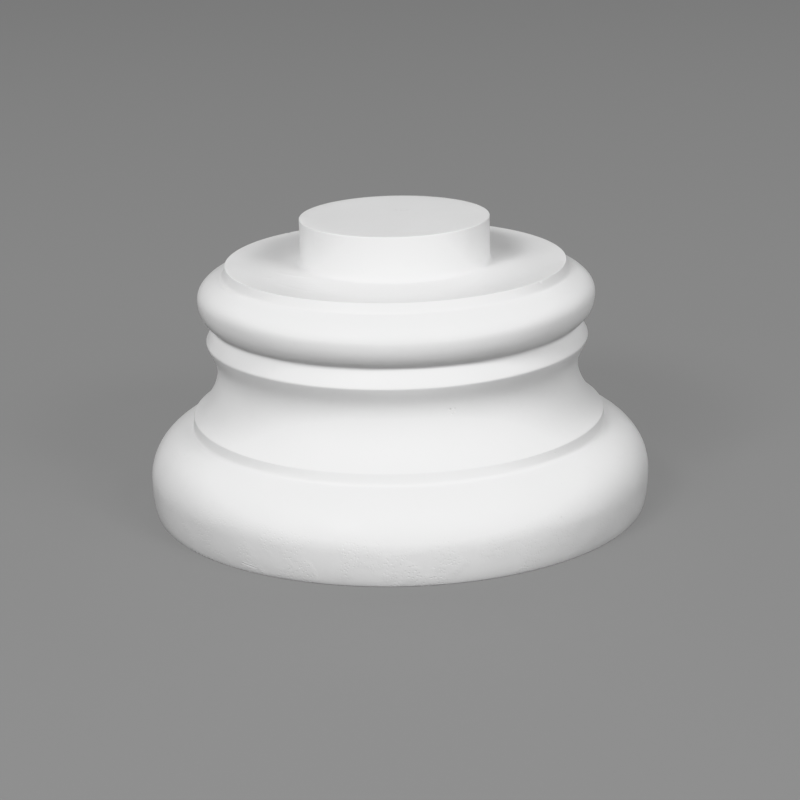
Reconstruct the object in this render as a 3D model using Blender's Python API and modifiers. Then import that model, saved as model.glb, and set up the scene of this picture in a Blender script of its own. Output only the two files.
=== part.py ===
"""Round column base, one white moulding, turned about the +Z axis.

From the floor up: a large torus, a low fillet, a scotia, a sloped band, a
smaller torus, a flat ledge that carries the column's shaft, and a central
spigot that keeps the shaft in place. Metres, origin in the middle of the
underside.
"""
import bpy
from math import ceil, cos, pi, radians, sin, sqrt

# The fit of the shaft: a spigot inside it, and a ledge under its wall
SPIGOT_RADIUS = 0.0667
SPIGOT_HEIGHT = 0.0312
LEDGE_WIDTH = 0.0533

# Heights of the mouldings, from the floor up
LOWER_TORUS_LOW_HALF = 0.0237
LOWER_TORUS_HIGH_HALF = 0.0355
LOWER_FILLET_HEIGHT = 0.0083
SCOTIA_LOW_HALF = 0.0328
SCOTIA_HIGH_HALF = 0.0216
BAND_HEIGHT = 0.0125
UPPER_TORUS_LOW_HALF = 0.0184
UPPER_TORUS_HIGH_HALF = 0.0161
RIM_HEIGHT = 0.0069

# How far each moulding goes out or in, from the one above it
RIM_FLARE = 0.0023
UPPER_TORUS_SHOULDER = 0.0179
UPPER_TORUS_UNDERCUT = 0.0110
BAND_FLARE = 0.0062
SCOTIA_DEPTH = 0.0072
SCOTIA_SPREAD = 0.0183
LOWER_FILLET_FLARE = 0.0006
LOWER_TORUS_SHOULDER = 0.0315
LOWER_TORUS_TUCK = 0.0028

# The share of an ellipse that each curve of the lower torus runs through, from its widest point
LOWER_TORUS_HIGH_TURN = radians(77)
LOWER_TORUS_LOW_TURN = radians(72)

# Free curves: how long each keeps its way at its two ends, and how far it leans inwards there
UPPER_TORUS_RIM_RUN = 0.0050
UPPER_TORUS_RIM_LEAN = radians(-77)
UPPER_TORUS_TOP_RUN = 0.0097
UPPER_TORUS_LOW_RUN = 0.0074
UPPER_TORUS_BAND_RUN = 0.0092
UPPER_TORUS_BAND_LEAN = radians(64)
SCOTIA_BAND_RUN = 0.0089
SCOTIA_BAND_LEAN = radians(20)
SCOTIA_NECK_RUN = 0.0098
SCOTIA_LOW_RUN = 0.0098
SCOTIA_LIP_RUN = 0.0145
SCOTIA_LIP_LEAN = radians(-55)

# Small roundings, and the part of an edge's own run that one may take up
SPIGOT_ROOT_RADIUS = 0.0034
EDGE_CHAMFER = 0.0008
COVE_RADIUS = 0.0018
LARGEST_SHARE_OF_RUN = 0.45

# Fineness of the facets
FACET_TURN = radians(10)
UPPER_TORUS_FACETS = 7
SCOTIA_FACETS = 4
ROOT_FACETS = 3
COVE_FACETS = 2
CHAMFER_FACETS = 1
STEPS_ROUND_AXIS = 90

WHITE = (0.86, 0.86, 0.85, 1.0)
ROUGHNESS = 0.45


def clear_scene():
    for item in list(bpy.data.objects):
        bpy.data.objects.remove(item, do_unlink=True)


def curve_from_middle(middle, end, turn):
    """Points of an elliptic arc from a torus's widest point to its end.

    Points are (radius, height). The outline is upright in the middle, and turn
    is the angle that the arc covers of its ellipse.
    """
    radial_axis = (middle[0] - end[0]) / (1 - cos(turn))
    upright_axis = (end[1] - middle[1]) / sin(turn)
    facets = ceil(turn / FACET_TURN)
    points = []
    for facet in range(facets + 1):
        angle = turn * facet / facets
        radius = middle[0] - radial_axis * (1 - cos(angle))
        points.append((radius, middle[1] + upright_axis * sin(angle)))
    return points


def curve_to_middle(middle, end, turn):
    """The same arc, listed from its end to the middle."""
    return curve_from_middle(middle, end, turn)[::-1]


def free_curve(start, start_run, start_lean, end, end_run, end_lean, facets):
    """Points of a curve that goes down, with a run and a lean inwards from upright at each end."""
    leave = (start[0] - start_run * sin(start_lean), start[1] - start_run * cos(start_lean))
    arrive = (end[0] + end_run * sin(end_lean), end[1] + end_run * cos(end_lean))
    points = []
    for facet in range(facets + 1):
        share = facet / facets
        rest = 1 - share
        weights = (rest ** 3, 3 * rest ** 2 * share, 3 * rest * share ** 2, share ** 3)
        corners = (start, leave, arrive, end)
        points.append(tuple(
            sum(weight * point[axis] for weight, point in zip(weights, corners)) for axis in (0, 1)))
    return points


def step_along(start, end, distance):
    """The point at a distance from start towards end, which leaves most of the run straight."""
    run = (end[0] - start[0], end[1] - start[1])
    length = sqrt(run[0] ** 2 + run[1] ** 2)
    share = min(distance / length, LARGEST_SHARE_OF_RUN)
    return (start[0] + run[0] * share, start[1] + run[1] * share)


def rounded_corner(before, corner, after, radius, facets):
    """Points of a small curve in place of the corner where two runs of the outline meet."""
    first = step_along(corner, before, radius)
    last = step_along(corner, after, radius)
    points = []
    for facet in range(facets + 1):
        share = facet / facets
        weights = ((1 - share) ** 2, 2 * share * (1 - share), share ** 2)
        corners = (first, corner, last)
        points.append(tuple(
            sum(weight * point[axis] for weight, point in zip(weights, corners)) for axis in (0, 1)))
    return points


def top_outline(spigot_edge, ledge_root, rim_edge, rim_foot):
    """The spigot and the ledge round it, from the middle of the top to the rim's edge."""
    middle = (0.0, spigot_edge[1])
    outline = [middle]
    outline += rounded_corner(middle, spigot_edge, ledge_root, EDGE_CHAMFER, CHAMFER_FACETS)
    outline += rounded_corner(spigot_edge, ledge_root, rim_edge, SPIGOT_ROOT_RADIUS, ROOT_FACETS)
    outline += rounded_corner(ledge_root, rim_edge, rim_foot, EDGE_CHAMFER, CHAMFER_FACETS)
    return outline


def base_outline():
    """The turned outline, from the middle of the top down the outer side to the floor."""
    lower_widest_z = LOWER_TORUS_LOW_HALF
    lower_foot_z = lower_widest_z + LOWER_TORUS_HIGH_HALF
    lip_z = lower_foot_z + LOWER_FILLET_HEIGHT
    neck_z = lip_z + SCOTIA_LOW_HALF
    band_low_z = neck_z + SCOTIA_HIGH_HALF
    band_top_z = band_low_z + BAND_HEIGHT
    upper_widest_z = band_top_z + UPPER_TORUS_LOW_HALF
    rim_foot_z = upper_widest_z + UPPER_TORUS_HIGH_HALF
    ledge_z = rim_foot_z + RIM_HEIGHT

    spigot_edge = (SPIGOT_RADIUS, ledge_z + SPIGOT_HEIGHT)
    ledge_root = (SPIGOT_RADIUS, ledge_z)
    rim_edge = (SPIGOT_RADIUS + LEDGE_WIDTH, ledge_z)
    rim_foot = (rim_edge[0] + RIM_FLARE, rim_foot_z)
    upper_widest = (rim_foot[0] + UPPER_TORUS_SHOULDER, upper_widest_z)
    band_top = (upper_widest[0] - UPPER_TORUS_UNDERCUT, band_top_z)
    band_low = (band_top[0] + BAND_FLARE, band_low_z)
    neck = (band_low[0] - SCOTIA_DEPTH, neck_z)
    lip = (neck[0] + SCOTIA_SPREAD, lip_z)
    lower_foot = (lip[0] + LOWER_FILLET_FLARE, lower_foot_z)
    lower_widest = (lower_foot[0] + LOWER_TORUS_SHOULDER, lower_widest_z)
    floor_edge = (lower_widest[0] - LOWER_TORUS_TUCK, 0.0)

    upper_shoulder = free_curve(
        rim_foot, UPPER_TORUS_RIM_RUN, UPPER_TORUS_RIM_LEAN,
        upper_widest, UPPER_TORUS_TOP_RUN, 0.0, UPPER_TORUS_FACETS)
    upper_belly = free_curve(
        upper_widest, UPPER_TORUS_LOW_RUN, 0.0,
        band_top, UPPER_TORUS_BAND_RUN, UPPER_TORUS_BAND_LEAN, UPPER_TORUS_FACETS)
    scotia_high = free_curve(
        band_low, SCOTIA_BAND_RUN, SCOTIA_BAND_LEAN, neck, SCOTIA_NECK_RUN, 0.0, SCOTIA_FACETS)
    scotia_low = free_curve(
        neck, SCOTIA_LOW_RUN, 0.0, lip, SCOTIA_LIP_RUN, SCOTIA_LIP_LEAN, SCOTIA_FACETS)
    lower_shoulder = curve_to_middle(lower_widest, lower_foot, LOWER_TORUS_HIGH_TURN)
    lower_belly = curve_from_middle(lower_widest, floor_edge, LOWER_TORUS_LOW_TURN)

    outline = top_outline(spigot_edge, ledge_root, rim_edge, rim_foot)
    outline += rounded_corner(rim_edge, rim_foot, upper_shoulder[1], COVE_RADIUS, COVE_FACETS)
    outline += upper_shoulder[1:] + upper_belly[1:-1]
    outline += rounded_corner(upper_belly[-2], band_top, band_low, COVE_RADIUS, CHAMFER_FACETS)
    outline += scotia_high + scotia_low[1:]
    outline += rounded_corner(lip, lower_foot, lower_shoulder[1], COVE_RADIUS, COVE_FACETS)
    outline += lower_shoulder[1:] + lower_belly[1:]
    outline.append((0.0, 0.0))
    return outline


def white_finish():
    material = bpy.data.materials.new("white_primed_moulding")
    material.use_nodes = True
    shader = material.node_tree.nodes["Principled BSDF"]
    shader.inputs["Base Color"].default_value = WHITE
    shader.inputs["Roughness"].default_value = ROUGHNESS
    shader.inputs["Metallic"].default_value = 0.0
    material.diffuse_color = WHITE
    return material


def turned_solid(name, outline, collection, material):
    """One closed body: the outline at +X, swept once round the Z axis."""
    points = [(radius, 0.0, height) for radius, height in outline]
    edges = [(index, index + 1) for index in range(len(points) - 1)]
    mesh = bpy.data.meshes.new(name)
    mesh.from_pydata(points, edges, [])
    mesh.materials.append(material)
    body = bpy.data.objects.new(name, mesh)
    collection.objects.link(body)

    screw = body.modifiers.new("turn", "SCREW")
    screw.axis = "Z"
    screw.angle = 2 * pi
    screw.steps = STEPS_ROUND_AXIS
    screw.render_steps = STEPS_ROUND_AXIS
    screw.use_merge_vertices = True
    screw.merge_threshold = 0.00001
    screw.use_smooth_shade = True
    return body


def build_column_base():
    clear_scene()
    collection = bpy.data.collections.new("column_base")
    bpy.context.scene.collection.children.link(collection)
    turned_solid("column_base", base_outline(), collection, white_finish())


build_column_base()
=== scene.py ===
"""Looks of the round column base: one fine white moulding in place of the faceted solid.

All sizes are in metres. An azimuth is an angle round the axis, in degrees, from the
front (the camera's side, -Y) towards +X. The outline repeats the sizes of the solid.
"""

from math import ceil, cos, pi, radians, sin, sqrt, tan

import bmesh
import bpy
import numpy as np
from mathutils import Matrix, Vector, noise


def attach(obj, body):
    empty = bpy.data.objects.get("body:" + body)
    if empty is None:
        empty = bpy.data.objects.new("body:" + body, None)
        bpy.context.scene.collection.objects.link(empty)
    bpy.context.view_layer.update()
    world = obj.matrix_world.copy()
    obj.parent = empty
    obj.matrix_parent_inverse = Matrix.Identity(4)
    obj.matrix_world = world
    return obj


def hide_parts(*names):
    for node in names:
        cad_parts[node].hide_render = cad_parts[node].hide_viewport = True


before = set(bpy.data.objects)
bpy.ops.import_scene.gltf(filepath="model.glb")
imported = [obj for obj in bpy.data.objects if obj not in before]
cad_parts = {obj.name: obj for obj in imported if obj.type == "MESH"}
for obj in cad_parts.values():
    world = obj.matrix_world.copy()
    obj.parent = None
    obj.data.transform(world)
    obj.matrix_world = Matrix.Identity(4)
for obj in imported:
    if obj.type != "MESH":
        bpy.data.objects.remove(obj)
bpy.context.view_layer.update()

MM = 0.001

# The fit of the shaft
SPIGOT_RADIUS = 66.7 * MM
SPIGOT_HEIGHT = 31.2 * MM
LEDGE_WIDTH = 53.3 * MM

# Heights of the mouldings, from the floor up
LOWER_TORUS_LOW_HALF = 23.7 * MM
LOWER_TORUS_HIGH_HALF = 35.5 * MM
LOWER_FILLET_HEIGHT = 8.3 * MM
SCOTIA_LOW_HALF = 32.8 * MM
SCOTIA_HIGH_HALF = 21.6 * MM
BAND_HEIGHT = 12.5 * MM
UPPER_TORUS_LOW_HALF = 18.4 * MM
UPPER_TORUS_HIGH_HALF = 16.1 * MM
RIM_HEIGHT = 6.9 * MM

# How far each moulding goes out or in, from the one above it
RIM_FLARE = 2.3 * MM
UPPER_TORUS_SHOULDER = 17.9 * MM
UPPER_TORUS_UNDERCUT = 11.0 * MM
BAND_FLARE = 6.2 * MM
SCOTIA_DEPTH = 7.2 * MM
SCOTIA_SPREAD = 18.3 * MM
LOWER_FILLET_FLARE = 0.6 * MM
LOWER_TORUS_SHOULDER = 31.5 * MM
LOWER_TORUS_TUCK = 2.8 * MM

# The share of an ellipse that each curve of the lower torus runs through
LOWER_TORUS_HIGH_TURN = radians(77)
LOWER_TORUS_LOW_TURN = radians(72)

# Free curves: how long each keeps its way at its two ends, and how far it leans inwards there
UPPER_TORUS_RIM_RUN = 5.0 * MM
UPPER_TORUS_RIM_LEAN = radians(-77)
UPPER_TORUS_TOP_RUN = 9.7 * MM
UPPER_TORUS_LOW_RUN = 7.4 * MM
UPPER_TORUS_BAND_RUN = 9.2 * MM
UPPER_TORUS_BAND_LEAN = radians(64)
SCOTIA_BAND_RUN = 8.9 * MM
SCOTIA_BAND_LEAN = radians(20)
SCOTIA_NECK_RUN = 9.8 * MM
SCOTIA_LOW_RUN = 9.8 * MM
SCOTIA_LIP_RUN = 14.5 * MM
SCOTIA_LIP_LEAN = radians(-55)

# The ledge is slightly dished: its slopes at the spigot and at the rim
LEDGE_FALL = tan(radians(3.2))
LEDGE_RISE = tan(radians(5.0))

# Roundings of the edges and of the coves between mouldings
SPIGOT_ROOT_RADIUS = 3.4 * MM
SPIGOT_EDGE_RADIUS = 0.6 * MM
RIM_EDGE_RADIUS = 0.45 * MM
RIM_COVE_RADIUS = 1.5 * MM
BAND_COVE_RADIUS = 2.7 * MM
BAND_LOW_RADIUS = 1.1 * MM
LIP_EDGE_RADIUS = 0.6 * MM
FLOOR_EDGE_RADIUS = 0.8 * MM
COVE_RADIUS = 1.8 * MM

# Fineness of the mesh
STEPS_ROUND_AXIS = 240
FINE_SPACING = 1.9 * MM
DISC_SPACING = 5.0 * MM
UNDERSIDE_SPACING = 25.0 * MM
FACET_TURN = radians(5)
FREE_CURVE_FACETS = 16
LEDGE_CUTS = 12
ROUNDING_FACETS = 4
SMALLEST_RUN = 0.01 * MM
LARGEST_SHARE_OF_RUN = 0.5

# Points of a curve that the rounding beside it takes the place of, above a torus and below one
POINTS_IN_COVE = 2
POINTS_IN_CREVICE = 4

# Finer faces round the small marks: how near to a mark each round of cuts reaches, the size of
# mark from which it reaches farther, and the reaches above which three wider places are cut too
CUT_REACHES = (4.0 * MM, 2.6 * MM, 1.7 * MM, 1.2 * MM)
LARGE_MARK = 1.0 * MM
SANDED_CUT_REACH = 3.0 * MM
FOOT_CUT_REACH = 2.0 * MM
SCRATCH_CUT_REACH = 1.5 * MM

# What is cut beyond the scratch's ends in degrees, and above it
SCRATCH_CUT_TURN = 1.0
SCRATCH_CUT_MARGIN = 0.5 * MM

# Unevenness of the moulding: the height and spacing of its waves, how far apart in the noise they
# are taken, and the height above the floor from which they have their full size
SWELLS = ((0.12 * MM, 70 * MM), (0.035 * MM, 18 * MM), (0.012 * MM, 6 * MM))
SWELL_SHIFT = (3.1, 7.7, 1.9)
SMOOTH_BELOW = 3.0 * MM

# A pore's level middle and the width of its wall, as shares of its radius
PORE_MIDDLE_SHARE = 0.45
PORE_WALL_SHARE = 0.75

# Pores as (azimuth, height, radius, depth), where a depth below zero is a small raised spot
SEEN_PORES = (
    (15.2, 103.8 * MM, 0.8 * MM, 0.22 * MM),
    (16.6, 104.0 * MM, 0.6 * MM, 0.12 * MM),
    (15.9, 103.2 * MM, 0.5 * MM, -0.06 * MM),
    (16.6, 101.2 * MM, 0.6 * MM, -0.08 * MM),
    (15.9, 100.2 * MM, 0.5 * MM, 0.1 * MM),
    (-35.3, 3.4 * MM, 0.5 * MM, -0.12 * MM),
    (-34.1, 2.8 * MM, 0.5 * MM, -0.12 * MM),
    (-31.6, 2.4 * MM, 0.6 * MM, -0.15 * MM),
    (-27.8, 110.7 * MM, 0.4 * MM, 0.25 * MM),
    (40.3, 50.7 * MM, 0.4 * MM, 0.3 * MM),
)

# Pores at the sides and the back, from a fixed draw below the band's top
UNSEEN_PORES = 30
UNSEEN_PORE_AZIMUTHS = (35, 325)
UNSEEN_PORE_LOWEST = 6 * MM
UNSEEN_PORE_RADII = (0.25 * MM, 0.5 * MM)
UNSEEN_PORE_DEPTH_SHARE = 0.7
PORE_SEED = 7

# Wide shallow dents as (azimuth, height, half width round the axis, half height, depth)
DENTS = (
    (-28.7, 167.7 * MM, 6.0 * MM, 2.5 * MM, 0.16 * MM),
    (-23.8, 34.5 * MM, 4.0 * MM, 4.0 * MM, 0.07 * MM),
    (63.0, 38.0 * MM, 9.0 * MM, 6.0 * MM, 0.12 * MM),
    (148.0, 150.0 * MM, 8.0 * MM, 4.0 * MM, 0.15 * MM),
    (-131.0, 45.0 * MM, 10.0 * MM, 6.0 * MM, 0.15 * MM),
)

# Nicks of the rim's edge as (azimuth, half width, depth), how far they lie below the ledge's
# level, and their height as a share of their width
RIM_NICKS = (
    (53.9, 1.6 * MM, 0.45 * MM),
    (-139.0, 1.3 * MM, 0.35 * MM),
    (171.0, 1.0 * MM, 0.3 * MM),
)
NICK_DROP = 0.3 * MM
NICK_HEIGHT_SHARE = 0.6

# Sanding marks on the ledge as (azimuth and radius at each end, half width, height), and the
# share of half their length over which each end fades
SANDING_MARKS = (
    (-75, 88.5 * MM, -47, 69.0 * MM, 2.0 * MM, 0.12 * MM),
    (-56, 98.5 * MM, -32, 99.5 * MM, 1.8 * MM, 0.10 * MM),
    (-36, 99.5 * MM, -22, 80.0 * MM, 1.8 * MM, 0.08 * MM),
    (-51, 92.5 * MM, -25, 77.0 * MM, 1.5 * MM, 0.06 * MM),
    (-93, 95.0 * MM, -65, 100.0 * MM, 1.5 * MM, 0.06 * MM),
    (96, 101.0 * MM, 131, 98.0 * MM, 1.8 * MM, 0.08 * MM),
    (150, 95.0 * MM, 190, 90.0 * MM, 1.8 * MM, 0.08 * MM),
)
RIDGE_FADE_SHARE = 0.4

# The part of the ledge, at the front left, that gets finer faces for its marks
SANDED_AZIMUTHS = (-94, -20)
SANDED_RADII = (68 * MM, 104 * MM)

# A groove at the left of the rim's foot, as azimuths, height, half width and depth
FOOT_GROOVE = (-88, -60, 168.2 * MM, 0.8 * MM, 0.25 * MM)

# A short scratch with a raised edge, low on the front left, as the azimuth and height of its two
# ends, then its sizes; its fade and its edge's distance are in half widths
SCRATCH_ENDS = ((-37.0, 5.9 * MM), (-31.0, 4.2 * MM))
SCRATCH_HALF_WIDTH = 0.4 * MM
SCRATCH_DEPTH = 0.2 * MM
SCRATCH_LIP = 0.15 * MM
SCRATCH_FADE = 4
SCRATCH_LIP_DISTANCE = 2

# A nib of dried primer on the ledge, as azimuth and radius
NIB_PLACE = (-64.6, 97.0 * MM)
NIB_RADIUS = 1.8 * MM
NIB_HEIGHT = 0.25 * MM

# Noises of the primer as (scale, detail, low, high), of which the part from low to high counts,
# and two that count as a whole, as (scale, detail)
PATCH_NOISE = (14.0, 3.0, 0.3, 0.7)
MOTTLE_NOISE = (160.0, 3.0, 0.55, 0.8)
SMUDGE_NOISE = (400.0, 2.0, 0.4, 0.6)
RUBBED_NOISE = (30.0, 4.0, 0.35, 0.7)
PITTED_NOISE = (45.0, 2.0, 0.4, 0.55)
GRAIN_NOISE = (900.0, 2.0)
RING_NOISE = (1.0, 3.0)

# The primer's tones from patch to patch, how much darker its mottle is, and its roughness where
# it is untouched and where it is rubbed
PATCH_TONES = (0.792, 0.808)
MOTTLE_TONE = 0.012
ROUGHNESS = (0.62, 0.5)

# A faint smudge on the spigot's top, as its place, the inverse of its reach, the share of its
# reach that has the full tone, and its tone
SMUDGE_PLACE = (5.2 * MM, 18.0 * MM, 207.0 * MM)
SMUDGE_SCALE = (110.0, 190.0, 300.0)
SMUDGE_MIDDLE = 0.35
SMUDGE_TONE = 0.04

# Painted shade in two of the pores: dark spots as azimuth, radius, height, reach and tone, and the
# share of their reach that has the full tone
PORE_PAINTED_SHADES = (
    (15.2, 128.5 * MM, 103.8 * MM, 1.3 * MM, 0.08),
    (16.6, 128.5 * MM, 104.0 * MM, 1.0 * MM, 0.04),
)
PORE_SHADE_MIDDLE = 0.3

# Relief too fine for the mesh: spray grain, pits and the rings left by sanding, with the scale
# of the rings along the radius and round the axis
GRAIN_HEIGHT = 0.012 * MM
PIT_HEIGHT = 0.12 * MM
PIT_SCALE = 520.0
PIT_RANGE = (0.05, 0.45)
RING_HEIGHT = 0.03 * MM
RING_SCALES = (700.0, 1.5)

# The camera, from the outline and the circles of the edges in the photograph
CAMERA_PLACE = (0.0, -1.4720, 0.5375)
CAMERA_PITCH = radians(17.556)
CAMERA_YAW = radians(0.040)
CAMERA_ROLL = radians(1.346)
CAMERA_LENS = 96.78
CAMERA_FARTHEST = 50.0
SENSOR_WIDTH = 36.0

# Softboxes as (name, azimuth, elevation, size, watts), a grey floor and a grey backdrop
SOFTBOXES = (
    ("key_left", -35, 35, 0.5, 26.7),
    ("key_front", -22, 35, 0.5, 19.9),
    ("low_left", -40, 20, 0.5, 9.6),
    ("side_left", -50, 35, 1.3, 6.7),
    ("high_left", -50, 52, 0.5, 3.2),
    ("front_right", 35, 35, 0.5, 14.0),
    ("low_right", 40, 20, 0.5, 14.7),
    ("side_right", 50, 35, 0.5, 10.0),
    ("wide_right", 50, 35, 1.3, 5.7),
    ("low_far_right", 60, 20, 0.5, 6.5),
    ("back_top", 180, 62, 1.3, 10.8),
    ("back_left", -125, 30, 1.3, 7.4),
    ("back_right", 125, 30, 1.3, 6.3),
)
SOFTBOX_DISTANCE = 2.8
LIGHT_TARGET = (0.0, 0.0, 0.1)
PLAIN_WHITE = (1.0, 1.0, 1.0, 1.0)
FLOOR_REACH = 12.0
FLOOR_COLOUR = (0.06, 0.06, 0.06, 1.0)
FLOOR_GLOW = 0.217
FLOOR_ROUGHNESS = 0.9
BACKDROP_BRIGHTNESS = 0.24

# Heights and radii that the sizes above add up to
LOWER_WIDEST_Z = LOWER_TORUS_LOW_HALF
LOWER_FOOT_Z = LOWER_WIDEST_Z + LOWER_TORUS_HIGH_HALF
LIP_Z = LOWER_FOOT_Z + LOWER_FILLET_HEIGHT
NECK_Z = LIP_Z + SCOTIA_LOW_HALF
BAND_LOW_Z = NECK_Z + SCOTIA_HIGH_HALF
BAND_TOP_Z = BAND_LOW_Z + BAND_HEIGHT
UPPER_WIDEST_Z = BAND_TOP_Z + UPPER_TORUS_LOW_HALF
RIM_FOOT_Z = UPPER_WIDEST_Z + UPPER_TORUS_HIGH_HALF
LEDGE_Z = RIM_FOOT_Z + RIM_HEIGHT
SPIGOT_Z = LEDGE_Z + SPIGOT_HEIGHT
RIM_RADIUS = SPIGOT_RADIUS + LEDGE_WIDTH

# Heights between which the ledge's sanding sets in and ends, and the lower torus's pitting ends
SANDING_START = (LEDGE_Z - 0.6 * MM, LEDGE_Z - 0.2 * MM)
SANDING_END = (LEDGE_Z + 2.0 * MM, LEDGE_Z + 4.0 * MM)
PITTING_END = (20.0 * MM, 45.0 * MM)


def curve_from_middle(middle, end, turn):
    """Points (radius, height) of an elliptic arc from a torus's widest point to its end."""
    radial_axis = (middle[0] - end[0]) / (1 - cos(turn))
    upright_axis = (end[1] - middle[1]) / sin(turn)
    facets = ceil(turn / FACET_TURN)
    points = []
    for facet in range(facets + 1):
        angle = turn * facet / facets
        radius = middle[0] - radial_axis * (1 - cos(angle))
        points.append((radius, middle[1] + upright_axis * sin(angle)))
    return points


def curve_to_middle(middle, end, turn):
    """The same arc, listed from its end to the middle."""
    return curve_from_middle(middle, end, turn)[::-1]


def mixed(points, weights):
    """The weighted sum of some points, each (radius, height)."""
    radius = sum(weight * point[0] for weight, point in zip(weights, points))
    height = sum(weight * point[1] for weight, point in zip(weights, points))
    return (radius, height)


def free_curve(start, start_run, start_lean, end, end_run, end_lean):
    """Points of a curve that goes down, with a run and a lean inwards from upright at each end."""
    leave = (start[0] - start_run * sin(start_lean), start[1] - start_run * cos(start_lean))
    arrive = (end[0] + end_run * sin(end_lean), end[1] + end_run * cos(end_lean))
    points = []
    for facet in range(FREE_CURVE_FACETS + 1):
        share = facet / FREE_CURVE_FACETS
        rest = 1 - share
        weights = (rest ** 3, 3 * rest ** 2 * share, 3 * rest * share ** 2, share ** 3)
        points.append(mixed((start, leave, arrive, end), weights))
    return points


def step_along(start, end, distance):
    """The point at a distance from start towards end, at most half way."""
    run = (end[0] - start[0], end[1] - start[1])
    share = min(distance / sqrt(run[0] ** 2 + run[1] ** 2), LARGEST_SHARE_OF_RUN)
    return (start[0] + run[0] * share, start[1] + run[1] * share)


def rounded_corner(before, corner, after, radius):
    """Points of a small curve in place of the corner where two runs of the outline meet."""
    first = step_along(corner, before, radius)
    last = step_along(corner, after, radius)
    points = []
    for facet in range(ROUNDING_FACETS + 1):
        share = facet / ROUNDING_FACETS
        weights = ((1 - share) ** 2, 2 * share * (1 - share), share ** 2)
        points.append(mixed((first, corner, last), weights))
    return points


def dished_ledge(start, end):
    """Points between the spigot's foot and the rim's edge, which sink a little in the middle."""
    width = end[0] - start[0]
    points = []
    for cut in range(1, LEDGE_CUTS):
        share = cut / LEDGE_CUTS
        sink = LEDGE_FALL * share * (1 - share) ** 2 + LEDGE_RISE * share ** 2 * (1 - share)
        points.append((start[0] + width * share, LEDGE_Z - width * sink))
    return points


def filled_runs(points, spacing):
    """The outline with its long straight runs cut into equal short ones."""
    filled = [points[0]]
    for start, end in zip(points, points[1:]):
        length = sqrt((end[0] - start[0]) ** 2 + (end[1] - start[1]) ** 2)
        if length < SMALLEST_RUN:
            continue
        cuts = ceil(length / spacing)
        for cut in range(1, cuts + 1):
            filled.append(mixed((start, end), (1 - cut / cuts, cut / cuts)))
    return filled


def base_outline():
    """The turned outline (radius, height), from the middle of the top down to the floor."""
    top_middle = (0.0, SPIGOT_Z)
    spigot_edge = (SPIGOT_RADIUS, SPIGOT_Z)
    ledge_root = (SPIGOT_RADIUS, LEDGE_Z)
    rim_edge = (RIM_RADIUS, LEDGE_Z)
    rim_foot = (rim_edge[0] + RIM_FLARE, RIM_FOOT_Z)
    upper_widest = (rim_foot[0] + UPPER_TORUS_SHOULDER, UPPER_WIDEST_Z)
    band_top = (upper_widest[0] - UPPER_TORUS_UNDERCUT, BAND_TOP_Z)
    band_low = (band_top[0] + BAND_FLARE, BAND_LOW_Z)
    neck = (band_low[0] - SCOTIA_DEPTH, NECK_Z)
    lip = (neck[0] + SCOTIA_SPREAD, LIP_Z)
    lower_foot = (lip[0] + LOWER_FILLET_FLARE, LOWER_FOOT_Z)
    lower_widest = (lower_foot[0] + LOWER_TORUS_SHOULDER, LOWER_WIDEST_Z)
    floor_edge = (lower_widest[0] - LOWER_TORUS_TUCK, 0.0)
    floor_middle = (0.0, 0.0)

    # The curves, each without the points that its neighbours or the roundings give
    upper_shoulder = free_curve(
        rim_foot, UPPER_TORUS_RIM_RUN, UPPER_TORUS_RIM_LEAN,
        upper_widest, UPPER_TORUS_TOP_RUN, 0.0)[POINTS_IN_COVE:]
    upper_belly = free_curve(
        upper_widest, UPPER_TORUS_LOW_RUN, 0.0,
        band_top, UPPER_TORUS_BAND_RUN, UPPER_TORUS_BAND_LEAN)[1:-POINTS_IN_CREVICE]
    scotia_high = free_curve(
        band_low, SCOTIA_BAND_RUN, SCOTIA_BAND_LEAN, neck, SCOTIA_NECK_RUN, 0.0)[1:]
    scotia_low = free_curve(
        neck, SCOTIA_LOW_RUN, 0.0, lip, SCOTIA_LIP_RUN, SCOTIA_LIP_LEAN)[1:-1]
    lower_shoulder = curve_to_middle(
        lower_widest, lower_foot, LOWER_TORUS_HIGH_TURN)[POINTS_IN_COVE:]
    lower_belly = curve_from_middle(lower_widest, floor_edge, LOWER_TORUS_LOW_TURN)[1:-1]

    side = rounded_corner(top_middle, spigot_edge, ledge_root, SPIGOT_EDGE_RADIUS)
    side += rounded_corner(spigot_edge, ledge_root, rim_edge, SPIGOT_ROOT_RADIUS)
    side += dished_ledge(side[-1], rim_edge)
    side += rounded_corner(side[-1], rim_edge, rim_foot, RIM_EDGE_RADIUS)
    side += rounded_corner(rim_edge, rim_foot, upper_shoulder[0], RIM_COVE_RADIUS)
    side += upper_shoulder + upper_belly
    side += rounded_corner(side[-1], band_top, band_low, BAND_COVE_RADIUS)
    side += rounded_corner(band_top, band_low, scotia_high[0], BAND_LOW_RADIUS)
    side += scotia_high + scotia_low
    side += rounded_corner(side[-1], lip, lower_foot, LIP_EDGE_RADIUS)
    side += rounded_corner(lip, lower_foot, lower_shoulder[0], COVE_RADIUS)
    side += lower_shoulder + lower_belly
    side += rounded_corner(side[-1], floor_edge, floor_middle, FLOOR_EDGE_RADIUS)

    top = filled_runs([top_middle, side[0]], DISC_SPACING)
    underside = filled_runs([side[-1], floor_middle], UNDERSIDE_SPACING)
    return top[:-1] + filled_runs(side, FINE_SPACING) + underside[1:]


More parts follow.
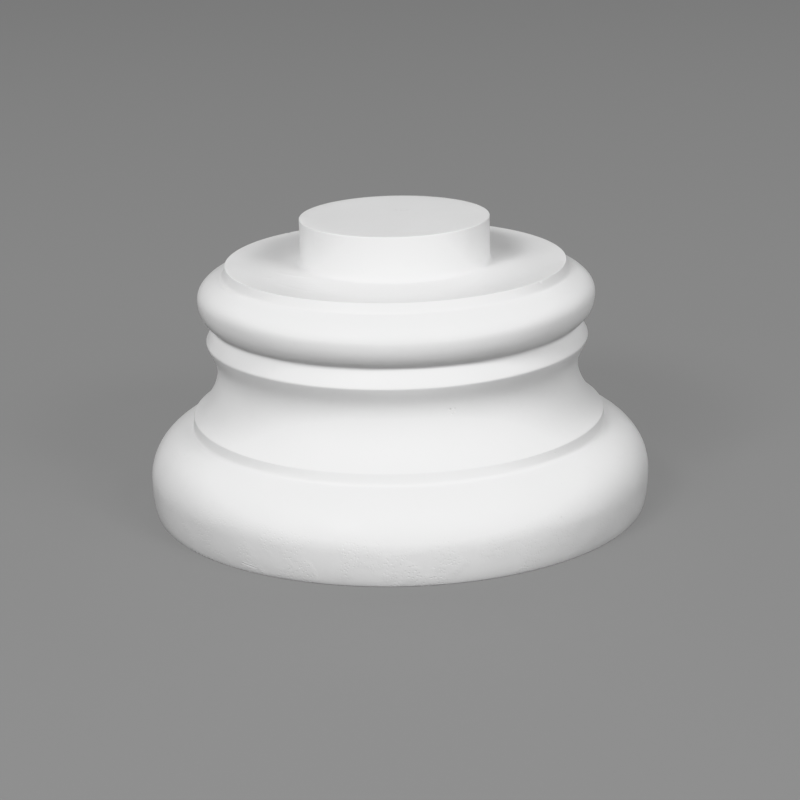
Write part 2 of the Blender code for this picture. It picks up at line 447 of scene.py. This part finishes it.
class SmoothOutline:
    """The outline as a smooth curve over its own length, from the top's middle to the floor's."""

    def __init__(self, points):
        self.points = np.array(points)
        runs = np.diff(self.points, axis=0)
        self.spans = np.linalg.norm(runs, axis=1)
        self.lengths = np.concatenate([[0.0], np.cumsum(self.spans)])
        ways = runs / self.spans[:, None]
        before = self.spans[:-1, None]
        after = self.spans[1:, None]
        inner = (ways[:-1] * after + ways[1:] * before) / (before + after)
        self.tangents = np.vstack([ways[:1], inner, ways[-1:]])

    def places(self, lengths):
        """Radius and height at each length, and the outward normal in the same two axes."""
        last = len(self.spans) - 1
        index = np.clip(np.searchsorted(self.lengths, lengths, side="right") - 1, 0, last)
        span = self.spans[index][:, None]
        share = np.clip((lengths - self.lengths[index])[:, None] / span, 0.0, 1.0)
        start = self.points[index]
        end = self.points[index + 1]
        leave = self.tangents[index] * span
        arrive = self.tangents[index + 1] * span
        rise = share ** 2 * (3 - 2 * share)
        places = start + (end - start) * rise
        places = places + leave * share * (1 - share) ** 2 - arrive * share ** 2 * (1 - share)
        way = self.tangents[index] * (1 - share) + self.tangents[index + 1] * share
        way = way / np.linalg.norm(way, axis=1)[:, None]
        return places, np.column_stack([-way[:, 1], way[:, 0]])

    def side_length(self, height):
        """Length at which the outer side, from the rim's edge down, passes a height."""
        rim = int(np.argmax(self.points[:, 0] > RIM_RADIUS))
        floor = int(np.argmax(self.points[:, 1] <= 0.0))
        heights = self.points[rim:floor + 1, 1]
        return float(np.interp(-height, -heights, self.lengths[rim:floor + 1]))

    def ledge_length(self, radius):
        """Length at which the ledge reaches a radius."""
        spigot = int(np.argmax(self.points[:, 1] < LEDGE_Z))
        rim = int(np.argmax(self.points[:, 0] >= RIM_RADIUS - RIM_EDGE_RADIUS))
        return float(np.interp(radius, self.points[spigot:rim, 0], self.lengths[spigot:rim]))


def wrapped(azimuths):
    """Azimuths in degrees, brought between -180 and 180."""
    return (azimuths + 180.0) % 360.0 - 180.0


def between(values, low, high):
    """Which of the values lie between two others."""
    return (values > low) & (values < high)


def smooth_step(values):
    """Zero below 0, one above 1, with a smooth rise between."""
    clipped = np.clip(values, 0.0, 1.0)
    return clipped ** 2 * (3 - 2 * clipped)


class Surface:
    """Points of the moulding by azimuth and outline length, with the relief on them."""

    def __init__(self, outline, azimuths, lengths):
        self.azimuths = azimuths
        self.lengths = lengths
        self.places, self.normals = outline.places(lengths)
        angles = np.radians(azimuths)
        self.outward = np.column_stack([np.sin(angles), -np.cos(angles)])
        self.relief = np.zeros(len(lengths))

    def points(self):
        """Where each point lies, relief included."""
        moved = self.places + self.normals * self.relief[:, None]
        return np.column_stack([self.outward * moved[:, :1], moved[:, 1]])

    def apart(self, azimuth, length):
        """How far each point is from a place, round the axis and along the outline."""
        round_axis = np.radians(wrapped(self.azimuths - azimuth)) * self.places[:, 0]
        return round_axis, self.lengths - length

    def add_swells(self):
        """Slight waves over the whole moulding, which fade out towards the floor."""
        points = self.points()
        fade = smooth_step(self.places[:, 1] / SMOOTH_BELOW)
        for order, (height, spacing) in enumerate(SWELLS):
            shift = Vector(SWELL_SHIFT) * (order + 1)
            waves = [noise.noise(Vector(point) / spacing + shift) for point in points]
            self.relief += height * fade * np.array(waves)

    def add_pore(self, azimuth, length, radius, depth):
        """A small round hole with a level middle."""
        round_axis, along = self.apart(azimuth, length)
        distance = np.hypot(round_axis, along) / radius
        self.relief -= depth * (1 - smooth_step((distance - PORE_MIDDLE_SHARE) / PORE_WALL_SHARE))

    def add_dent(self, azimuth, length, half_width, half_height, depth):
        """A soft hollow, or a soft bump where the depth is below zero."""
        round_axis, along = self.apart(azimuth, length)
        self.relief -= depth * np.exp(-(round_axis / half_width) ** 2 - (along / half_height) ** 2)

    def add_ridge(self, first, last, half_width, height):
        """A low ridge that fades at its two ends, each an azimuth and an outline length."""
        middle = (first[0] + last[0]) / 2
        half_turn = (last[0] - first[0]) / 2
        turned = wrapped(self.azimuths - middle) / half_turn
        crest = (first[1] + last[1]) / 2 + (last[1] - first[1]) / 2 * turned
        fade_start = 1 - RIDGE_FADE_SHARE
        ends = 1 - smooth_step((np.abs(turned) - fade_start) / RIDGE_FADE_SHARE)
        self.relief += height * ends * np.exp(-((self.lengths - crest) / half_width) ** 2)

    def add_scratch(self, ends, half_width, depth, lip):
        """A groove between two places, with a raised edge on its upper side."""
        across, along = self.apart(*ends[0])
        far_across = self.apart(*ends[1])[0]
        run = np.array([np.median(across - far_across), ends[1][1] - ends[0][1]])
        reach = float(np.linalg.norm(run))
        forward = (across * run[0] + along * run[1]) / reach
        sideways = (along * run[0] - across * run[1]) / reach
        fade = SCRATCH_FADE * half_width
        within = smooth_step(forward / fade) * smooth_step((reach - forward) / fade)
        from_lip = sideways + SCRATCH_LIP_DISTANCE * half_width
        self.relief -= depth * within * np.exp(-(sideways / half_width) ** 2)
        self.relief += lip * within * np.exp(-(from_lip / half_width) ** 2)


def chosen_marks(outline):
    """Every small mark as (kind, azimuth, outline length, sizes), the same on each call."""
    marks = []
    for azimuth, height, radius, depth in SEEN_PORES:
        marks.append(("pore", azimuth, outline.side_length(height), (radius, depth)))
    draw = np.random.default_rng(PORE_SEED)
    lowest = outline.side_length(UNSEEN_PORE_LOWEST)
    highest = outline.side_length(BAND_TOP_Z)
    for _ in range(UNSEEN_PORES):
        azimuth = draw.uniform(*UNSEEN_PORE_AZIMUTHS)
        length = draw.uniform(highest, lowest)
        radius = draw.uniform(*UNSEEN_PORE_RADII)
        sizes = (radius, radius * UNSEEN_PORE_DEPTH_SHARE)
        marks.append(("pore", wrapped(azimuth), length, sizes))
    edge = outline.side_length(LEDGE_Z - NICK_DROP)
    for azimuth, half_width, depth in RIM_NICKS:
        marks.append(("nick", azimuth, edge, (half_width, depth)))
    azimuth, radius = NIB_PLACE
    marks.append(("nib", azimuth, outline.ledge_length(radius), (NIB_RADIUS, NIB_HEIGHT)))
    return marks


def scratch_places(outline):
    """The scratch's two ends, each as azimuth and outline length."""
    return [(azimuth, outline.side_length(height)) for azimuth, height in SCRATCH_ENDS]


def base_net(outline):
    """The outline swept round the axis, with each vertex's outline length kept in a layer."""
    net = bmesh.new()
    layer = net.verts.layers.float.new("outline_length")
    steps = STEPS_ROUND_AXIS
    rings = []
    for (radius, height), length in zip(outline.points, outline.lengths):
        count = steps if radius > SMALLEST_RUN else 1
        ring = []
        for step in range(count):
            angle = 2 * pi * step / steps
            vertex = net.verts.new((radius * sin(angle), -radius * cos(angle), height))
            vertex[layer] = length
            ring.append(vertex)
        rings.append(ring)
    for high, low in zip(rings, rings[1:]):
        for step in range(steps):
            after = (step + 1) % steps
            corners = [high[step % len(high)], low[step % len(low)]]
            corners += [low[after % len(low)], high[after % len(high)]]
            net.faces.new(list(dict.fromkeys(corners)))
    return net, layer


def net_coordinates(net, layer):
    """Azimuth and outline length of each vertex."""
    places = np.array([vertex.co for vertex in net.verts])
    azimuths = np.degrees(np.arctan2(places[:, 0], -places[:, 1]))
    return azimuths, np.array([vertex[layer] for vertex in net.verts])


def face_coordinates(net, layer):
    """Azimuth, outline length and radius at the middle of each face."""
    middles = np.array([face.calc_center_median() for face in net.faces])
    azimuths = np.degrees(np.arctan2(middles[:, 0], -middles[:, 1]))
    lengths = [sum(vertex[layer] for vertex in face.verts) / len(face.verts) for face in net.faces]
    return azimuths, np.array(lengths), np.hypot(middles[:, 0], middles[:, 1])


def cut_faces(net, chosen):
    """Cut each chosen face into four, and join its neighbours to the new corners."""
    net.faces.ensure_lookup_table()
    faces = [net.faces[index] for index in np.flatnonzero(chosen)]
    edges = dict.fromkeys(edge for face in faces for edge in face.edges)
    bmesh.ops.subdivide_edges(
        net, edges=list(edges), cuts=1, use_grid_fill=True, use_single_edge=True)


def refine_marks(net, layer, outline):
    """Finer faces round each small mark, in steps, so that it is real relief."""
    marks = chosen_marks(outline)
    (scratch_first, scratch_high), (scratch_last, scratch_low) = scratch_places(outline)
    ledge_first, ledge_last = [outline.ledge_length(radius) for radius in SANDED_RADII]
    foot_first, foot_last, foot_height = FOOT_GROOVE[:3]
    foot = outline.side_length(foot_height)
    for reach in CUT_REACHES:
        azimuths, lengths, radii = face_coordinates(net, layer)
        chosen = np.zeros(len(lengths), dtype=bool)
        for _, azimuth, length, sizes in marks:
            across = np.radians(wrapped(azimuths - azimuth)) * radii
            farthest = reach * max(1.0, sizes[0] / LARGE_MARK)
            chosen |= np.hypot(across, lengths - length) < farthest
        if reach > SANDED_CUT_REACH:
            sanded = between(azimuths, *SANDED_AZIMUTHS)
            chosen |= sanded & between(lengths, ledge_first, ledge_last)
        if reach > FOOT_CUT_REACH:
            near_foot = np.abs(lengths - foot) < reach
            chosen |= near_foot & between(azimuths, foot_first, foot_last)
        if reach > SCRATCH_CUT_REACH:
            above = scratch_high - reach - SCRATCH_CUT_MARGIN
            below = scratch_low + reach / 2
            near_scratch = between(
                azimuths, scratch_first - SCRATCH_CUT_TURN, scratch_last + SCRATCH_CUT_TURN)
            chosen |= near_scratch & between(lengths, above, below)
        cut_faces(net, chosen)


def add_relief(surface, outline):
    """Put all waves and marks on the surface."""
    surface.add_swells()
    for kind, azimuth, length, sizes in chosen_marks(outline):
        if kind == "pore":
            surface.add_pore(azimuth, length, *sizes)
        elif kind == "nick":
            surface.add_dent(azimuth, length, sizes[0], sizes[0] * NICK_HEIGHT_SHARE, sizes[1])
        else:
            surface.add_dent(azimuth, length, sizes[0], sizes[0], -sizes[1])
    for azimuth, height, half_width, half_height, depth in DENTS:
        surface.add_dent(azimuth, outline.side_length(height), half_width, half_height, depth)
    for first, first_radius, last, last_radius, half_width, height in SANDING_MARKS:
        start = (first, outline.ledge_length(first_radius))
        end = (last, outline.ledge_length(last_radius))
        surface.add_ridge(start, end, half_width, height)
    first, last, height, half_width, depth = FOOT_GROOVE
    foot = outline.side_length(height)
    surface.add_ridge((first, foot), (last, foot), half_width, -depth)
    surface.add_scratch(scratch_places(outline), SCRATCH_HALF_WIDTH, SCRATCH_DEPTH, SCRATCH_LIP)


def build_base():
    """The whole moulding as one closed mesh."""
    outline = SmoothOutline(base_outline())
    net, layer = base_net(outline)
    refine_marks(net, layer, outline)
    azimuths, lengths = net_coordinates(net, layer)
    surface = Surface(outline, azimuths, lengths)
    add_relief(surface, outline)
    for vertex, place in zip(net.verts, surface.points()):
        vertex.co = place

    mesh = bpy.data.meshes.new("column_base_fine")
    net.to_mesh(mesh)
    net.free()
    mesh.shade_smooth()
    base = bpy.data.objects.new("column_base_fine", mesh)
    bpy.context.scene.collection.objects.link(base)
    return base


class NodeSet:
    """Short calls to add and link the nodes of one material."""

    def __init__(self, material):
        material.use_nodes = True
        self.tree = material.node_tree
        self.shader = self.tree.nodes["Principled BSDF"]

    def set_socket(self, socket, value):
        """Link a socket to the output of a node, or set it to a plain value."""
        if isinstance(value, bpy.types.NodeSocket):
            self.tree.links.new(value, socket)
        else:
            socket.default_value = value

    def add(self, kind, inputs, **settings):
        """A node of a kind, with its settings, and its inputs linked or set by name or number."""
        node = self.tree.nodes.new(kind)
        for name, value in settings.items():
            setattr(node, name, value)
        for name, value in inputs.items():
            self.set_socket(node.inputs[name], value)
        return node

    def maths(self, operation, first, second=0.0):
        """A number from one or two numbers."""
        node = self.add("ShaderNodeMath", {0: first, 1: second}, operation=operation)
        return node.outputs[0]

    def vector_maths(self, operation, first, second):
        """A vector from two vectors."""
        node = self.add("ShaderNodeVectorMath", {0: first, 1: second}, operation=operation)
        return node.outputs[0]

    def distance(self, first, second=(0.0, 0.0, 0.0)):
        """How far apart two places are, or how long a vector is."""
        node = self.add("ShaderNodeVectorMath", {0: first, 1: second}, operation="DISTANCE")
        return node.outputs["Value"]

    def noise(self, vector, scale, detail):
        """A noise between 0 and 1 at a place."""
        node = self.add("ShaderNodeTexNoise", {"Vector": vector, "Scale": scale, "Detail": detail})
        return node.outputs[0]

    def spread(self, value, low, high, new_low=0.0, new_high=1.0):
        """A value between low and high, brought smoothly between two others."""
        inputs = {"Value": value, "From Min": low, "From Max": high}
        inputs.update({"To Min": new_low, "To Max": new_high})
        return self.add("ShaderNodeMapRange", inputs, interpolation_type="SMOOTHSTEP").outputs[0]

    def spread_noise(self, vector, texture, new_low=0.0, new_high=1.0):
        """A noise given as (scale, detail, low, high), brought smoothly between two values."""
        scale, detail, low, high = texture
        return self.spread(self.noise(vector, scale, detail), low, high, new_low, new_high)

    def bump(self, height, distance, below=None):
        """The normal bent by a height, on top of the relief below it."""
        inputs = {"Height": height, "Distance": distance, "Strength": 1.0}
        if below is not None:
            inputs["Normal"] = below
        return self.add("ShaderNodeBump", inputs).outputs[0]


def smudge_tone(nodes, place):
    """How much darker the smudge is."""
    offset = nodes.vector_maths("SUBTRACT", place, SMUDGE_PLACE)
    distance = nodes.distance(nodes.vector_maths("MULTIPLY", offset, SMUDGE_SCALE))
    tone = nodes.spread(distance, SMUDGE_MIDDLE, 1.0, SMUDGE_TONE, 0.0)
    return nodes.maths("MULTIPLY", tone, nodes.spread_noise(place, SMUDGE_NOISE))


def painted_pore_shade(nodes, place, azimuth, radius, height, reach, tone):
    """How much darker the painted shade in a pore is."""
    shade_spot = (radius * sin(radians(azimuth)), -radius * cos(radians(azimuth)), height)
    return nodes.spread(nodes.distance(place, shade_spot), PORE_SHADE_MIDDLE * reach, reach, tone, 0.0)


def primer_colour(nodes, place):
    """An even white with faint patches, a little greyer where the primer is thin, a faint smudge,
    and painted shade in two pores.
    """
    white = nodes.spread_noise(place, PATCH_NOISE, *PATCH_TONES)
    mottle = nodes.maths("MULTIPLY", nodes.spread_noise(place, MOTTLE_NOISE), MOTTLE_TONE)
    white = nodes.maths("SUBTRACT", white, mottle)
    white = nodes.maths("SUBTRACT", white, smudge_tone(nodes, place))
    # Painted shade: the white is darkened in two pores, most at each middle
    for shade_spot in PORE_PAINTED_SHADES:
        white = nodes.maths("SUBTRACT", white, painted_pore_shade(nodes, place, *shade_spot))
    return nodes.add("ShaderNodeCombineColor", {0: white, 1: white, 2: white}).outputs[0]


def sanding_rings(nodes, axes):
    """Fine uneven rings round the axis, on the ledge only."""
    squares = [nodes.maths("POWER", axes[axis], 2.0) for axis in (0, 1)]
    radius = nodes.maths("SQRT", nodes.maths("ADD", *squares))
    angle = nodes.maths("ARCTAN2", axes[1], axes[0])
    along = nodes.maths("MULTIPLY", radius, RING_SCALES[0])
    round_axis = nodes.maths("MULTIPLY", angle, RING_SCALES[1])
    place = nodes.add("ShaderNodeCombineXYZ", {0: along, 1: round_axis, 2: 0.0}).outputs[0]
    above_rim = nodes.spread(axes[2], *SANDING_START)
    below_spigot = nodes.spread(axes[2], *SANDING_END, 1.0, 0.0)
    on_ledge = nodes.maths("MULTIPLY", above_rim, below_spigot)
    return nodes.maths("MULTIPLY", nodes.noise(place, *RING_NOISE), on_ledge)


def pitting(nodes, place, height):
    """Small pits in some places, low on the lower torus."""
    cells = nodes.add("ShaderNodeTexVoronoi", {"Vector": place, "Scale": PIT_SCALE})
    low_down = nodes.spread(height, *PITTING_END, 1.0, 0.0)
    pits = nodes.spread(cells.outputs["Distance"], *PIT_RANGE)
    pits = nodes.maths("MULTIPLY", pits, low_down)
    return nodes.maths("MULTIPLY", pits, nodes.spread_noise(place, PITTED_NOISE))


def primer_relief(nodes, place):
    """Spray grain, with the pitting and the sanding rings on top of it."""
    axes = nodes.add("ShaderNodeSeparateXYZ", {"Vector": place}).outputs
    grain = nodes.bump(nodes.noise(place, *GRAIN_NOISE), GRAIN_HEIGHT)
    pitted = nodes.bump(pitting(nodes, place, axes[2]), PIT_HEIGHT, grain)
    return nodes.bump(sanding_rings(nodes, axes), RING_HEIGHT, pitted)


def white_material():
    """White primer over hard moulded foam, satin to matt, and shinier where it is rubbed."""
    material = bpy.data.materials.new("white_moulding")
    nodes = NodeSet(material)
    place = nodes.add("ShaderNodeTexCoord", {}).outputs["Object"]
    looks = {
        "Base Color": primer_colour(nodes, place),
        "Roughness": nodes.spread_noise(place, RUBBED_NOISE, *ROUGHNESS),
        "Normal": primer_relief(nodes, place),
    }
    for name, value in looks.items():
        nodes.set_socket(nodes.shader.inputs[name], value)
    return material


def add_floor():
    """A plain floor with a faint glow, which throws no light back on to the base."""
    mesh = bpy.data.meshes.new("floor")
    sides = ((-1, -1), (1, -1), (1, 1), (-1, 1))
    corners = [(FLOOR_REACH * across, FLOOR_REACH * deep, 0.0) for across, deep in sides]
    mesh.from_pydata(corners, [], [(0, 1, 2, 3)])
    floor = bpy.data.objects.new("floor", mesh)
    bpy.context.scene.collection.objects.link(floor)
    material = bpy.data.materials.new("pale_floor")
    material.use_nodes = True
    shader = material.node_tree.nodes["Principled BSDF"]
    shader.inputs["Base Color"].default_value = FLOOR_COLOUR
    shader.inputs["Emission Color"].default_value = PLAIN_WHITE
    shader.inputs["Emission Strength"].default_value = FLOOR_GLOW
    shader.inputs["Roughness"].default_value = FLOOR_ROUGHNESS
    mesh.materials.append(material)
    floor.visible_diffuse = False
    floor.visible_glossy = False


def add_softbox(name, azimuth, elevation, size, watts):
    """A square soft light that looks at the middle of the base."""
    light = bpy.data.lights.new(name, "AREA")
    light.shape = "SQUARE"
    light.size = size
    light.energy = watts
    lamp = bpy.data.objects.new(name, light)
    level = SOFTBOX_DISTANCE * cos(radians(elevation))
    above = SOFTBOX_DISTANCE * sin(radians(elevation))
    place = Vector((level * sin(radians(azimuth)), -level * cos(radians(azimuth)), above))
    lamp.location = Vector(LIGHT_TARGET) + place
    lamp.rotation_euler = (-place).to_track_quat("-Z", "Y").to_euler()
    bpy.context.scene.collection.objects.link(lamp)


def add_world(brightness):
    """A grey backdrop behind the floor's far edge, which gives the base no light."""
    world = bpy.data.worlds.new("studio")
    bpy.context.scene.world = world
    world.use_nodes = True
    backdrop = world.node_tree.nodes["Background"]
    backdrop.inputs["Color"].default_value = PLAIN_WHITE
    backdrop.inputs["Strength"].default_value = brightness
    world.cycles_visibility.diffuse = False
    world.cycles_visibility.glossy = False


def add_camera():
    """The photograph's camera."""
    camera = bpy.data.cameras.new("camera")
    camera.lens = CAMERA_LENS
    camera.sensor_width = SENSOR_WIDTH
    camera.clip_end = CAMERA_FARTHEST
    eye = bpy.data.objects.new("camera", camera)
    turn = Matrix.Rotation(-CAMERA_YAW, 4, "Z")
    tilt = Matrix.Rotation(pi / 2 - CAMERA_PITCH, 4, "X")
    roll = Matrix.Rotation(-CAMERA_ROLL, 4, "Z")
    eye.matrix_world = Matrix.Translation(CAMERA_PLACE) @ turn @ tilt @ roll
    bpy.context.scene.collection.objects.link(eye)
    bpy.context.scene.camera = eye


base = build_base()
base.data.materials.append(white_material())
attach(base, "root")
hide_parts("column_base")

add_floor()
for softbox in SOFTBOXES:
    add_softbox(*softbox)
add_world(BACKDROP_BRIGHTNESS)
add_camera()
bpy.context.scene.view_settings.view_transform = "Khronos PBR Neutral"
